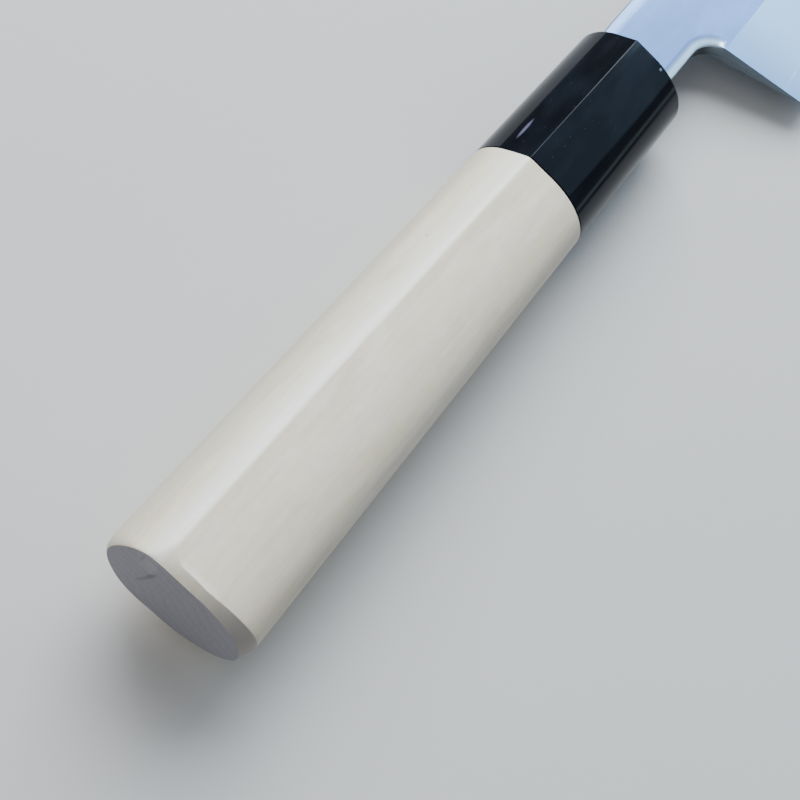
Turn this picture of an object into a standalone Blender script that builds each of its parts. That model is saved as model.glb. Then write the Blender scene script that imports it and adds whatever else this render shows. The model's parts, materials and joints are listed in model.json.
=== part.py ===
"""A right-handed mentori knife, a small kitchen knife for paring and rounding cut vegetables.

Metres. The knife is drawn with its handle's axis along X, from the butt at x = 0 to the tip,
+Y to the spine and +Z out of its right-hand, bevelled side. An empty then lays the whole knife
on its left side on z = 0 as it comes to rest there: the blade outweighs the handle, so it lies
on the rim of the ferrule's mouth and on the tip, and the butt is a little above the surface.
"""

import math

import bmesh
import bpy
from mathutils import Matrix, Vector
from mathutils.geometry import intersect_point_tri

# Handle: an oval with one ridge on its right side, tapering from the butt to the ferrule's mouth
HANDLE_LENGTH = 0.1180
FERRULE_LENGTH = 0.0318
BUTT_HEIGHT = 0.0241
BUTT_WIDTH = 0.0188
MOUTH_HEIGHT = 0.0200
MOUTH_WIDTH = 0.0165
BUTT_RIDGE_RISE = 0.0044
BUTT_RIDGE_OUT = 0.0098
MOUTH_RIDGE_RISE = 0.0027
MOUTH_RIDGE_OUT = 0.0086
SPINE_FULLNESS = 0.03
BUTT_CHAMFER_LENGTH = 0.0020
BUTT_CHAMFER_DEPTH = 0.0011
BUTT_CHAMFER_SLANT = 0.40
BUTT_CHAMFER_BULGE = 0.17
BUTT_RIDGE_SHARE = 0.25
MOUTH_EASING = 0.0003

# Joint between the wood and the ferrule
TENON_LENGTH = 0.0240
FERRULE_WALL = 0.0024
TENON_END_CHAMFER = 0.0010
SEAM_GAP = 0.0001
FIT_GAP = 0.0003

# Tang, drawn from the ferrule's mouth back into the handle
TANG_LENGTH = 0.0780
TANG_HEIGHT = 0.0096
TANG_END_HEIGHT = 0.0050
TANG_END_THICKNESS = 0.0020
TANG_RISE = 0.0010
TANG_STRAIGHT = 0.0080
SEAL_LENGTH = 0.0050
SEAL_WALL = 0.0007
SEAL_RECESS = 0.0004

# Neck and blade
NECK_THICKNESS = 0.0032
TIP_THICKNESS = 0.0020
SHOULDER_GAP = 0.0012
SHOULDER_FLARE = 0.0003
FLARE_LENGTH = 0.0045
SPINE_RISE = 0.0082
NECK_DROP = 0.0055
NOTCH_REACH = 0.0176
NOTCH_RADIUS = 0.0050
HEEL_LEAN = math.radians(15.5)
EDGE_DROP = 0.0260
EDGE_TIP_DROP = 0.0248
EDGE_LENGTH = 0.1050
EDGE_LAND = 0.00006
TIP_RADIUS = 0.0440
BEVEL_LINE_DROP = 0.0091
BEVEL_LINE_TIP_DROP = 0.0080
SPINE_EASING = 0.0015
NECK_EASING = 0.0009

# Forge-welded layers and the hollow ground into the flat side
HARD_LAYER = 0.0009
HARD_START = 0.0130
WELD_GAP = 0.00003
HOLLOW_DEPTH = 0.00035
HOLLOW_RIM = 0.0022
HOLLOW_SPREAD = 1.02

# Kilograms in a cubic metre, for the pose in which the knife comes to rest
DENSITIES = {
    "grip": 600.0,
    "ferrule": 1150.0,
    "tang_seal": 1150.0,
    "blade_body": 7850.0,
    "edge_steel": 7850.0,
}

# Fineness of the curves
ARC_STEPS = 56
FLAT_STEPS = 3
CHAMFER_STEPS = 3
NOTCH_STEPS = 10
TIP_STEPS = 26
EASING_STEPS = 3
HOLLOW_RINGS = 5
BLADE_STATIONS = (0.25, 0.50, 0.75)

# Tolerances: points closer than this are one point, and edges flatter than this are no edges
SAME_POINT = 1e-7
ON_SIDE = 1e-6
FLAT_ANGLE = math.radians(0.05)
CORNER_ANGLE = math.radians(45)
LEAST_RIDGE = 1.0001
SIDE_CONE = math.radians(25)

# Places worked out from the sizes
JOINT = HANDLE_LENGTH - FERRULE_LENGTH
FLAT_SIDE = -NECK_THICKNESS / 2
NOTCH = HANDLE_LENGTH + NOTCH_REACH
NOTCH_END = NOTCH - NOTCH_RADIUS * (1 - math.cos(HEEL_LEAN))
NOTCH_END_DROP = NECK_DROP + NOTCH_RADIUS * (1 - math.sin(HEEL_LEAN))
HEEL = NOTCH_END + (EDGE_DROP - NOTCH_END_DROP) * math.tan(HEEL_LEAN)
TIP = HEEL + EDGE_LENGTH
OVERSHOOT = 0.0020


# Scene set-up

def clear_scene():
    for old in list(bpy.data.objects):
        bpy.data.objects.remove(old, do_unlink=True)


def new_collection(name):
    collection = bpy.data.collections.new(name)
    bpy.context.scene.collection.children.link(collection)
    return collection


def new_material(name, colour, roughness, metallic):
    material = bpy.data.materials.new(name)
    material.use_nodes = True
    shader = material.node_tree.nodes["Principled BSDF"]
    shader.inputs["Base Color"].default_value = (*colour, 1.0)
    shader.inputs["Roughness"].default_value = roughness
    shader.inputs["Metallic"].default_value = metallic
    return material


# Tools shared by the pieces

def place_mesh(name, mesh, collection):
    piece = bpy.data.objects.new(name, mesh)
    collection.objects.link(piece)
    return piece


def mix(start, end, share):
    return start + (end - start) * share


def loft(name, rings, collection):
    # Rings of equally many points, joined in turn, with both ends closed
    model = bmesh.new()
    layers = [[model.verts.new(point) for point in ring] for ring in rings]
    count = len(layers[0])
    for near, far in zip(layers, layers[1:]):
        for k in range(count):
            after = (k + 1) % count
            model.faces.new((near[k], near[after], far[after], far[k]))
    model.faces.new(layers[0])
    model.faces.new(layers[-1])
    bmesh.ops.recalc_face_normals(model, faces=model.faces)
    mesh = bpy.data.meshes.new(name)
    model.to_mesh(mesh)
    model.free()
    return place_mesh(name, mesh, collection)


def plate(name, outline, low, high, collection):
    # A flat outline as a filled 2D curve, made a closed mesh from low to high
    curve = bpy.data.curves.new(name, "CURVE")
    curve.dimensions = "2D"
    curve.fill_mode = "BOTH"
    curve.extrude = (high - low) / 2
    spline = curve.splines.new("POLY")
    spline.points.add(len(outline) - 1)
    for point, (x, y) in zip(spline.points, outline):
        point.co = (x, y, 0.0, 1.0)
    spline.use_cyclic_u = True
    drawn = place_mesh(name, curve, collection)
    drawn.location.z = (low + high) / 2
    bpy.context.view_layer.update()
    graph = bpy.context.evaluated_depsgraph_get()
    mesh = bpy.data.meshes.new_from_object(drawn.evaluated_get(graph))
    mesh.transform(drawn.matrix_world)
    bpy.data.objects.remove(drawn, do_unlink=True)
    model = bmesh.new()
    model.from_mesh(mesh)
    bmesh.ops.remove_doubles(model, verts=model.verts, dist=SAME_POINT)
    bmesh.ops.recalc_face_normals(model, faces=model.faces)
    model.to_mesh(mesh)
    model.free()
    return place_mesh(name, mesh, collection)


def box(name, low, high, collection):
    model = bmesh.new()
    bmesh.ops.create_cube(model, size=1.0)
    size = Vector(high) - Vector(low)
    bmesh.ops.scale(model, vec=size, verts=model.verts)
    bmesh.ops.translate(model, vec=(Vector(high) + Vector(low)) / 2, verts=model.verts)
    mesh = bpy.data.meshes.new(name)
    model.to_mesh(mesh)
    model.free()
    return place_mesh(name, mesh, collection)


def hide_tool(tool):
    tool.hide_render = True
    tool.display_type = "WIRE"


def cut(piece, tool, operation="DIFFERENCE"):
    hide_tool(tool)
    boolean = piece.modifiers.new(tool.name, "BOOLEAN")
    boolean.operation = operation
    boolean.solver = "EXACT"
    boolean.object = tool


def settle_mesh(piece):
    # Turn the piece's modifiers into its own mesh
    bpy.context.view_layer.update()
    graph = bpy.context.evaluated_depsgraph_get()
    mesh = bpy.data.meshes.new_from_object(piece.evaluated_get(graph))
    piece.modifiers.clear()
    piece.data = mesh


def finish(piece, material, crease_angle=30.0):
    piece.data.materials.clear()
    piece.data.materials.append(material)
    piece.data.shade_smooth()
    piece.data.set_sharp_from_angle(angle=math.radians(crease_angle))


# Handle section

def section(along, inset=0.0, ridge_inset=None):
    # The handle's outline at a distance from the butt: an oval and the ridge that stands
    # out of it, joined by the two straight lines that touch the oval
    share = along / HANDLE_LENGTH
    half_height = mix(BUTT_HEIGHT, MOUTH_HEIGHT, share) / 2 - inset
    half_width = mix(BUTT_WIDTH, MOUTH_WIDTH, share) / 2 - inset
    rise = mix(BUTT_RIDGE_RISE, MOUTH_RIDGE_RISE, share)
    out = mix(BUTT_RIDGE_OUT, MOUTH_RIDGE_OUT, share)
    shrink = 1 - (inset if ridge_inset is None else ridge_inset) / math.hypot(rise, out)
    ridge = (rise * shrink, out * shrink)
    reach = max(math.hypot(ridge[0] / half_height, ridge[1] / half_width), LEAST_RIDGE)
    middle = math.atan2(ridge[1] / half_width, ridge[0] / half_height)
    spread = math.acos(1 / reach)
    first = middle + spread
    last = middle - spread + 2 * math.pi
    points = []
    for k in range(ARC_STEPS + 1):
        turn = mix(first, last, k / ARC_STEPS)
        points.append((half_height * math.cos(turn), half_width * math.sin(turn)))
    oval_end = points[-1]
    oval_start = points[0]
    for k in range(1, FLAT_STEPS + 1):
        share = k / FLAT_STEPS
        points.append((mix(oval_end[0], ridge[0], share), mix(oval_end[1], ridge[1], share)))
    for k in range(1, FLAT_STEPS):
        share = k / FLAT_STEPS
        points.append((mix(ridge[0], oval_start[0], share), mix(ridge[1], oval_start[1], share)))
    return [(y, z * (1 + SPINE_FULLNESS * y / half_height)) for y, z in points]


def ring(along, inset=0.0):
    return [(along, y, z) for y, z in section(along, inset)]


def butt_ring(share):
    # A ring of the slightly rounded chamfer round the butt, from its flat face at 0 to the
    # full size at 1; it is longer at the belly than at the spine and spares the ridge
    bulge = BUTT_CHAMFER_BULGE * 4 * share * (1 - share)
    inset = BUTT_CHAMFER_DEPTH * (1 - share - bulge)
    along = BUTT_CHAMFER_LENGTH * share
    points = []
    for y, z in section(along, inset, inset * BUTT_RIDGE_SHARE):
        slant = 1 - BUTT_CHAMFER_SLANT * 2 * y / BUTT_HEIGHT
        points.append((along * slant, y, z))
    return points


# Tang section

def tang_rectangle(along, gap):
    # The tang's corners at a distance behind the ferrule's mouth, grown by a gap all round
    taper = max(along - TANG_STRAIGHT, 0.0) / (TANG_LENGTH - TANG_STRAIGHT)
    half_height = mix(TANG_HEIGHT, TANG_END_HEIGHT, taper) / 2 + gap
    thinning = max(along, 0.0) / TANG_LENGTH
    half_thickness = mix(NECK_THICKNESS, TANG_END_THICKNESS, thinning) / 2 + gap
    x = HANDLE_LENGTH - along
    top = TANG_RISE + half_height
    bottom = TANG_RISE - half_height
    return [
        (x, bottom, -half_thickness),
        (x, top, -half_thickness),
        (x, top, half_thickness),
        (x, bottom, half_thickness),
    ]


# Pieces

def make_grip(parts, tools):
    tenon_inset = FERRULE_WALL + FIT_GAP
    tenon_end = JOINT + TENON_LENGTH
    rings = [
        *[butt_ring(k / CHAMFER_STEPS) for k in range(CHAMFER_STEPS + 1)],
        ring(JOINT),
        ring(JOINT, tenon_inset),
        ring(tenon_end - TENON_END_CHAMFER, tenon_inset),
        ring(tenon_end, tenon_inset + TENON_END_CHAMFER),
    ]
    grip = loft("grip", rings, parts)
    mouth_to_tenon = HANDLE_LENGTH - tenon_end
    hole = loft("tang_hole_tool", [
        tang_rectangle(TANG_LENGTH + FIT_GAP, FIT_GAP),
        tang_rectangle(TANG_STRAIGHT, FIT_GAP),
        tang_rectangle(mouth_to_tenon - OVERSHOOT, FIT_GAP),
    ], tools)
    cut(grip, hole)
    finish(grip, new_material("magnolia_wood", (0.68, 0.65, 0.58), 0.55, 0.0))


def slot_half_gap():
    # Room round the tang in the ferrule's slot: the seal with a clearance on both sides
    return SEAL_WALL + 2 * FIT_GAP


def make_ferrule(parts, tools):
    start = JOINT + SEAM_GAP
    ferrule = loft("ferrule", [
        ring(start),
        ring(HANDLE_LENGTH - MOUTH_EASING),
        ring(HANDLE_LENGTH, MOUTH_EASING),
    ], parts)
    socket_end = JOINT + TENON_LENGTH + FIT_GAP
    socket = loft("socket_tool", [
        ring(start - OVERSHOOT, FERRULE_WALL),
        ring(socket_end, FERRULE_WALL),
    ], tools)
    slot = loft("slot_tool", [
        tang_rectangle(HANDLE_LENGTH - socket_end + OVERSHOOT, FIT_GAP),
        tang_rectangle(-OVERSHOOT, FIT_GAP),
    ], tools)
    seal_seat = loft("seal_seat_tool", [
        tang_rectangle(SEAL_RECESS + SEAL_LENGTH + FIT_GAP, slot_half_gap()),
        tang_rectangle(-OVERSHOOT, slot_half_gap()),
    ], tools)
    cut(ferrule, socket)
    cut(ferrule, slot)
    cut(ferrule, seal_seat)
    finish(ferrule, new_material("black_resin", (0.012, 0.014, 0.018), 0.15, 0.0))


def make_tang_seal(parts, tools):
    seal = loft("tang_seal", [
        tang_rectangle(SEAL_RECESS + SEAL_LENGTH, FIT_GAP + SEAL_WALL),
        tang_rectangle(SEAL_RECESS, FIT_GAP + SEAL_WALL),
    ], parts)
    hole = loft("seal_hole_tool", [
        tang_rectangle(SEAL_RECESS + SEAL_LENGTH + OVERSHOOT, FIT_GAP),
        tang_rectangle(SEAL_RECESS - OVERSHOOT, FIT_GAP),
    ], tools)
    cut(seal, hole)
    finish(seal, new_material("sealing_resin", (0.10, 0.06, 0.03), 0.35, 0.0))


def tip_curve():
    # The spine's drop to the tip: an arc that leaves the spine without a corner
    centre_rise = SPINE_RISE - TIP_RADIUS
    drop = math.acos((-EDGE_TIP_DROP - centre_rise) / TIP_RADIUS)
    centre = TIP - TIP_RADIUS * math.sin(drop)
    points = []
    for k in range(TIP_STEPS + 1):
        turn = drop * k / TIP_STEPS
        x = centre + TIP_RADIUS * math.sin(turn)
        y = centre_rise + TIP_RADIUS * math.cos(turn)
        points.append((x, y))
    return points


def notch_curve():
    # The rounded corner between the heel and the underside of the neck
    middle = (NOTCH - NOTCH_RADIUS, -NECK_DROP - NOTCH_RADIUS)
    points = []
    for k in range(NOTCH_STEPS + 1):
        turn = mix(HEEL_LEAN, math.pi / 2, k / NOTCH_STEPS)
        x = middle[0] + NOTCH_RADIUS * math.cos(turn)
        y = middle[1] + NOTCH_RADIUS * math.sin(turn)
        points.append((x, y))
    return points


def blade_outline():
    shoulder = HANDLE_LENGTH + SHOULDER_GAP
    flared = shoulder + FLARE_LENGTH
    tang_straight = HANDLE_LENGTH - TANG_STRAIGHT
    tang_end = HANDLE_LENGTH - TANG_LENGTH
    return [
        (tang_end, TANG_RISE - TANG_END_HEIGHT / 2),
        (tang_end, TANG_RISE + TANG_END_HEIGHT / 2),
        (tang_straight, TANG_RISE + TANG_HEIGHT / 2),
        (shoulder, TANG_RISE + TANG_HEIGHT / 2),
        (shoulder, SPINE_RISE - SHOULDER_FLARE),
        (flared, SPINE_RISE),
        *tip_curve(),
        (HEEL, -EDGE_DROP),
        *notch_curve(),
        (flared, -NECK_DROP),
        (shoulder, -NECK_DROP + SHOULDER_FLARE),
        (shoulder, TANG_RISE - TANG_HEIGHT / 2),
        (tang_straight, TANG_RISE - TANG_HEIGHT / 2),
    ]


def edge_at(x):
    return -mix(EDGE_DROP, EDGE_TIP_DROP, (x - HEEL) / EDGE_LENGTH)


def right_side(x):
    # Height of the blade's right side above the handle's axis, thinning to the tip
    share = (x - HANDLE_LENGTH) / (TIP - HANDLE_LENGTH)
    return FLAT_SIDE + mix(NECK_THICKNESS, TIP_THICKNESS, share)


def stock_ring(x):
    # A section of the bar that the blade is cut from: flat on the left, bevelled on the right
    top = SPINE_RISE + OVERSHOOT
    share = (x - HEEL) / EDGE_LENGTH
    bevel_line = -mix(BEVEL_LINE_DROP, BEVEL_LINE_TIP_DROP, share)
    edge = edge_at(x)
    high = right_side(x)
    low = FLAT_SIDE
    slope = (high - low - EDGE_LAND) / (bevel_line - edge)
    bottom = edge - EDGE_LAND / slope / 2
    return [
        (x, bottom, low),
        (x, bottom, low + EDGE_LAND / 2),
        (x, bevel_line, high),
        (x, top, high),
        (x, top, low),
    ]


def tang_stock_ring(x):
    thinning = (HANDLE_LENGTH - x) / TANG_LENGTH
    half = mix(NECK_THICKNESS, TANG_END_THICKNESS, thinning) / 2
    points = stock_ring(HANDLE_LENGTH)
    heights = (-half, EDGE_LAND / 2 - half, half, half, -half)
    return [(x, y, z) for (old_x, y, old_z), z in zip(points, heights)]


def ease_edges(piece, width, keep):
    # Chamfer the long edges of the right side that a test picks by their middle
    model = bmesh.new()
    model.from_mesh(piece.data)
    bmesh.ops.remove_doubles(model, verts=model.verts, dist=SAME_POINT)
    bmesh.ops.dissolve_limit(model, angle_limit=FLAT_ANGLE, verts=model.verts, edges=model.edges)
    chosen = []
    for edge in model.edges:
        middle = (edge.verts[0].co + edge.verts[1].co) / 2
        on_right = all(abs(v.co.z - right_side(v.co.x)) < ON_SIDE for v in edge.verts)
        sharp = len(edge.link_faces) == 2 and edge.calc_face_angle() > CORNER_ANGLE
        if on_right and sharp and keep(middle):
            chosen.append(edge)
    bmesh.ops.bevel(model, geom=chosen, offset=width, segments=EASING_STEPS, profile=0.5, affect="EDGES")
    model.to_mesh(piece.data)
    model.free()


def make_blade_blank(tools):
    places = [HANDLE_LENGTH, NOTCH]
    places += [mix(HEEL, TIP, share) for share in BLADE_STATIONS]
    places.append(TIP + OVERSHOOT)
    tang_ring = tang_stock_ring(HANDLE_LENGTH - TANG_LENGTH - OVERSHOOT)
    blank = loft("blade_blank", [tang_ring, *[stock_ring(x) for x in places]], tools)
    outline = plate("outline_tool", blade_outline(), FLAT_SIDE - OVERSHOOT, NECK_THICKNESS, tools)
    cut(blank, outline, "INTERSECT")
    settle_mesh(blank)
    bare_start = HANDLE_LENGTH + SHOULDER_GAP + ON_SIDE
    ease_edges(blank, SPINE_EASING, lambda spot: spot.y > 0 and spot.x > bare_start)
    ease_edges(blank, NECK_EASING, lambda spot: spot.y < 0 and bare_start < spot.x < HEEL)
    hide_tool(blank)
    return blank


def layer_box(name, start, low, high, tools):
    far = (TIP + OVERSHOOT, SPINE_RISE + OVERSHOOT, high)
    return box(name, (start, -EDGE_DROP - OVERSHOOT, low), far, tools)


def hollow_outline():
    # The hollow's border on the flat side, an even rim inside the blade's own outline
    start = HEEL + HOLLOW_RIM
    points = [(start, edge_at(start) + HOLLOW_RIM), (start, SPINE_RISE - HOLLOW_RIM)]
    arc = tip_curve()
    centre = (arc[0][0], arc[0][1] - TIP_RADIUS)
    shrink = (TIP_RADIUS - HOLLOW_RIM) / TIP_RADIUS
    for x, y in arc:
        inner = (mix(centre[0], x, shrink), mix(centre[1], y, shrink))
        if inner[1] > edge_at(inner[0]) + HOLLOW_RIM:
            points.append(inner)
    return points


def make_hollow_tool(tools):
    # A shallow dish, deepest in the middle, whose widest ring lies a little out of the steel
    outline = hollow_outline()
    middle = ((outline[0][0] + outline[-1][0]) / 2, (outline[0][1] + outline[1][1]) / 2)
    rings = []
    below = FLAT_SIDE - OVERSHOOT
    scales = [HOLLOW_SPREAD] + [1 - k / HOLLOW_RINGS for k in range(1, HOLLOW_RINGS)]
    for scale in scales:
        height = FLAT_SIDE + HOLLOW_DEPTH * (1 - scale * scale)
        points = []
        for x, y in outline:
            points.append((mix(middle[0], x, scale), mix(middle[1], y, scale), height))
        rings.append(points)
    rings.insert(0, [(x, y, below) for x, y, z in rings[0]])
    return loft("hollow_tool", rings, tools)


def make_blade(parts, tools):
    blank = make_blade_blank(tools)
    seam = FLAT_SIDE + HARD_LAYER
    hard_start = HANDLE_LENGTH + HARD_START
    below = FLAT_SIDE - OVERSHOOT
    iron_room = layer_box("iron_room_tool", hard_start - WELD_GAP, below, seam + WELD_GAP / 2, tools)
    steel_room = layer_box("steel_room_tool", hard_start, below, seam - WELD_GAP / 2, tools)
    iron = place_mesh("blade_body", blank.data.copy(), parts)
    cut(iron, iron_room)
    finish(iron, new_material("soft_iron", (0.52, 0.55, 0.60), 0.32, 1.0))
    steel = place_mesh("edge_steel", blank.data.copy(), parts)
    cut(steel, steel_room, "INTERSECT")
    cut(steel, make_hollow_tool(tools))
    finish(steel, new_material("hard_steel", (0.62, 0.65, 0.70), 0.22, 1.0))


# The knife as it lies

def find_down(pieces):
    # The direction that is down once the knife has come to rest on its left side: out of the
    # face of its convex hull that the centre of mass lies over, at the least height
    graph = bpy.context.evaluated_depsgraph_get()
    hull = bmesh.new()
    mass = 0.0
    moment = Vector()
    for piece in pieces:
        model = bmesh.new()
        model.from_mesh(piece.evaluated_get(graph).data)
        bmesh.ops.triangulate(model, faces=model.faces)
        for face in model.faces:
            a, b, c = [vertex.co for vertex in face.verts]
            share = DENSITIES[piece.name] * a.dot(b.cross(c)) / 6
            mass += share
            moment += share * (a + b + c) / 4
        for vertex in model.verts:
            hull.verts.new(vertex.co)
        model.free()
    centre = moment / mass
    bmesh.ops.remove_doubles(hull, verts=hull.verts, dist=SAME_POINT)
    bmesh.ops.convex_hull(hull, input=hull.verts)
    found = []
    for face in hull.faces:
        corners = [vertex.co for vertex in face.verts]
        on_left = -face.normal.z > math.cos(SIDE_CONE)
        if on_left and intersect_point_tri(centre, *corners):
            found.append(((corners[0] - centre).dot(face.normal), face.normal.copy()))
    hull.free()
    return min(found, key=lambda pair: pair[0])[1]


def lay_down(parts, tools):
    # Turn the knife until that face is down, with its handle still along X, then put the
    # middle of its outline over the origin and its lowest point on z = 0
    pieces = list(parts.objects)
    up = -find_down(pieces)
    along = Vector((1.0, 0.0, 0.0))
    along = (along - up * along.dot(up)).normalized()
    stand = bpy.data.objects.new("knife_axis", None)
    parts.objects.link(stand)
    stand.matrix_world = Matrix((along, up.cross(along), up)).to_4x4()
    for child in pieces + list(tools.objects):
        child.parent = stand
    bpy.context.view_layer.update()
    graph = bpy.context.evaluated_depsgraph_get()
    corners = []
    for piece in pieces:
        shaped = piece.evaluated_get(graph)
        corners.extend(shaped.matrix_world @ vertex.co for vertex in shaped.data.vertices)
    low = Vector([min(corner[k] for corner in corners) for k in range(3)])
    high = Vector([max(corner[k] for corner in corners) for k in range(3)])
    stand.location = (-(low.x + high.x) / 2, -(low.y + high.y) / 2, -low.z)
    bpy.context.view_layer.update()


def build():
    clear_scene()
    parts = new_collection("mentori_knife")
    tools = new_collection("tools")
    make_grip(parts, tools)
    make_ferrule(parts, tools)
    make_tang_seal(parts, tools)
    make_blade(parts, tools)
    lay_down(parts, tools)


build()
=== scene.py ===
import json
import math

import bmesh
import bpy
from mathutils import Euler, Matrix, Vector


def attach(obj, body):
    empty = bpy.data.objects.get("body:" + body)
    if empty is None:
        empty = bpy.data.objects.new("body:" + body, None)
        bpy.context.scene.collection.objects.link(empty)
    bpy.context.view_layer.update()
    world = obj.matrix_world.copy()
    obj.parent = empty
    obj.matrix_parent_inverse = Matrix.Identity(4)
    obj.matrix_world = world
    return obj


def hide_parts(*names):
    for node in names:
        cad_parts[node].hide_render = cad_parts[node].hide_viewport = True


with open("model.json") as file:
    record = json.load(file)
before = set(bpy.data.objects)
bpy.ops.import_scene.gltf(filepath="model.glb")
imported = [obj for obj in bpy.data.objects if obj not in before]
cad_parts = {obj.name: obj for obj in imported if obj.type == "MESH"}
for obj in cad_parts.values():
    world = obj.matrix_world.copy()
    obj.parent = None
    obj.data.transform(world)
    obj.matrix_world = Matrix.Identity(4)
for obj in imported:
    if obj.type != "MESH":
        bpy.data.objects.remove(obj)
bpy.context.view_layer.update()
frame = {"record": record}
print("frame loaded")


# The knife is drawn in metres with its handle along X, the butt at 0, the spine towards +Y and
# the bevelled side towards +Z. These are the sizes that its pieces share.
knife = {
    "handleLength": 0.1180,
    "joint": 0.0862,            # where the wood meets the ferrule
    "neckThickness": 0.0032,
    "tipThickness": 0.0020,
    "heel": 0.14009,
    "tip": 0.24509,
    "fit": 0.0003,              # clearance between pieces
    "past": 0.002,              # how far a cutting body reaches past what it cuts
    "hair": 0.000002,           # places closer than this count as one
}
leftSide = -knife["neckThickness"] / 2
mountDrop = 0.0020              # the butt's mount lies this far below the handle's axis


def readStand(record):
    # The record gives the butt's flat end and the blade's flat right side. The handle's axis runs
    # against the first normal, and the second, which leans a little to the tip, gives the rest.
    mounts = {mount["name"]: mount for mount in record["mounts"]}
    along = -Vector(mounts["butt_end"]["axis"])
    face = Vector(mounts["blade_side"]["axis"])
    up = (face - along * face.dot(along)).normalized()
    side = up.cross(along)
    middle = Vector(mounts["butt_end"]["pos_m"]) + side * mountDrop
    turn = Matrix((along, side, up)).transposed()
    return Matrix.Translation(middle) @ turn.to_4x4()


stand = readStand(frame["record"])
axisAlong = (stand.to_3x3() @ Vector((1, 0, 0)))[:]
axisSpine = (stand.to_3x3() @ Vector((0, 1, 0)))[:]
axisFace = (stand.to_3x3() @ Vector((0, 0, 1)))[:]


# Modelling helpers

def deselectAll():
    if bpy.context.mode != "OBJECT":
        bpy.ops.object.mode_set(mode="OBJECT")
    bpy.ops.object.select_all(action="DESELECT")


def pick(piece):
    deselectAll()
    piece.select_set(True)
    bpy.context.view_layer.objects.active = piece


def mix(start, end, share):
    return start + (end - start) * share


def ease(low, high, value):
    share = min(max((value - low) / (high - low), 0.0), 1.0)
    return share * share * (3 - 2 * share)


def loftBody(name, rings):
    # A filled circle is shaped to the first ring, then extruded and reshaped from ring to ring
    deselectAll()
    bpy.ops.mesh.primitive_circle_add(vertices=len(rings[0]), radius=0.01, fill_type="NGON")
    piece = bpy.context.object
    piece.name = name
    bpy.ops.object.mode_set(mode="EDIT")
    model = bmesh.from_edit_mesh(piece.data)
    place = model.verts.layers.int.new("place")
    for index, vertex in enumerate(model.verts):
        vertex[place] = index
        vertex.co = rings[0][index]
    bmesh.update_edit_mesh(piece.data)
    for ring in rings[1:]:
        bpy.ops.mesh.extrude_region_move()
        model = bmesh.from_edit_mesh(piece.data)
        place = model.verts.layers.int["place"]
        for vertex in model.verts:
            if vertex.select:
                vertex.co = ring[vertex[place]]
        bmesh.update_edit_mesh(piece.data)
    bpy.ops.mesh.select_all(action="SELECT")
    bpy.ops.mesh.normals_make_consistent(inside=False)
    bpy.ops.object.mode_set(mode="OBJECT")
    piece.data.attributes.remove(piece.data.attributes["place"])
    return piece


def carve(piece, tool, operation="DIFFERENCE"):
    pick(piece)
    bpy.ops.object.modifier_add(type="BOOLEAN")
    cut = piece.modifiers[-1]
    cut.object = tool
    cut.operation = operation
    cut.solver = "EXACT"
    bpy.ops.object.modifier_apply(modifier=cut.name)
    bpy.data.objects.remove(tool, do_unlink=True)


def selectEdges(piece, test):
    pick(piece)
    bpy.ops.object.mode_set(mode="EDIT")
    bpy.ops.mesh.select_mode(type="EDGE")
    bpy.ops.mesh.select_all(action="DESELECT")
    model = bmesh.from_edit_mesh(piece.data)
    for edge in model.edges:
        if len(edge.link_faces) == 2 and test(edge):
            edge.select_set(True)
    bmesh.update_edit_mesh(piece.data)


def middleOf(edge):
    return (edge.verts[0].co + edge.verts[1].co) / 2


def bevelSelected(width, segments):
    bpy.ops.mesh.bevel(offset=width, offset_type="OFFSET", segments=segments, profile=0.5)
    bpy.ops.object.mode_set(mode="OBJECT")


def markSharp(piece, test):
    selectEdges(piece, test)
    bpy.ops.mesh.mark_sharp()
    bpy.ops.object.mode_set(mode="OBJECT")


def smoothPiece(piece, angle):
    pick(piece)
    bpy.ops.object.shade_smooth_by_angle(angle=math.radians(angle), keep_sharp_edges=True)
    bpy.ops.object.modifier_add(type="WEIGHTED_NORMAL")
    piece.modifiers[-1].keep_sharp = True
    bpy.ops.object.modifier_apply(modifier=piece.modifiers[-1].name)


def layDown(piece, node, material):
    piece.matrix_world = stand
    pick(piece)
    bpy.ops.object.transform_apply(location=True, rotation=True, scale=True)
    piece.data.materials.clear()
    piece.data.materials.append(material)
    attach(piece, "root")
    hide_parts(node)
    print("made", piece.name, len(piece.data.polygons), "faces")


# Shader helpers

def startMaterial(name):
    material = bpy.data.materials.new(name)
    material.use_nodes = True
    tree = material.node_tree
    return material, tree, tree.nodes["Principled BSDF"]


def addNode(tree, kind, values=None, **settings):
    node = tree.nodes.new(kind)
    for key, value in settings.items():
        setattr(node, key, value)
    for key, value in (values or {}).items():
        if isinstance(value, bpy.types.NodeSocket):
            tree.links.new(value, node.inputs[key])
        else:
            node.inputs[key].default_value = value
    return node


def knifeSpace(tree):
    # Object coordinates turned back so that X runs along the handle from the butt
    back = stand.inverted()
    coordinates = addNode(tree, "ShaderNodeTexCoord")
    mapping = addNode(tree, "ShaderNodeMapping",
                      {"Vector": coordinates.outputs["Object"], "Location": back.to_translation(),
                       "Rotation": back.to_euler("XYZ")})
    return mapping.outputs["Vector"]


def splitPlace(tree, vector):
    return addNode(tree, "ShaderNodeSeparateXYZ", {"Vector": vector}).outputs


def blend(tree, factor, under, over):
    node = addNode(tree, "ShaderNodeMix", data_type="RGBA")
    for index, value in ((0, factor), (6, under), (7, over)):
        if isinstance(value, bpy.types.NodeSocket):
            tree.links.new(value, node.inputs[index])
        else:
            node.inputs[index].default_value = value
    return node.outputs[2]


def sums(tree, operation, first, second):
    node = addNode(tree, "ShaderNodeMath", {0: first, 1: second}, operation=operation)
    return node.outputs["Value"]


def times(tree, first, second):
    return sums(tree, "MULTIPLY", first, second)


def tint(tree, colour, mask, strength, over):
    return blend(tree, times(tree, mask, strength), colour, over)


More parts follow.
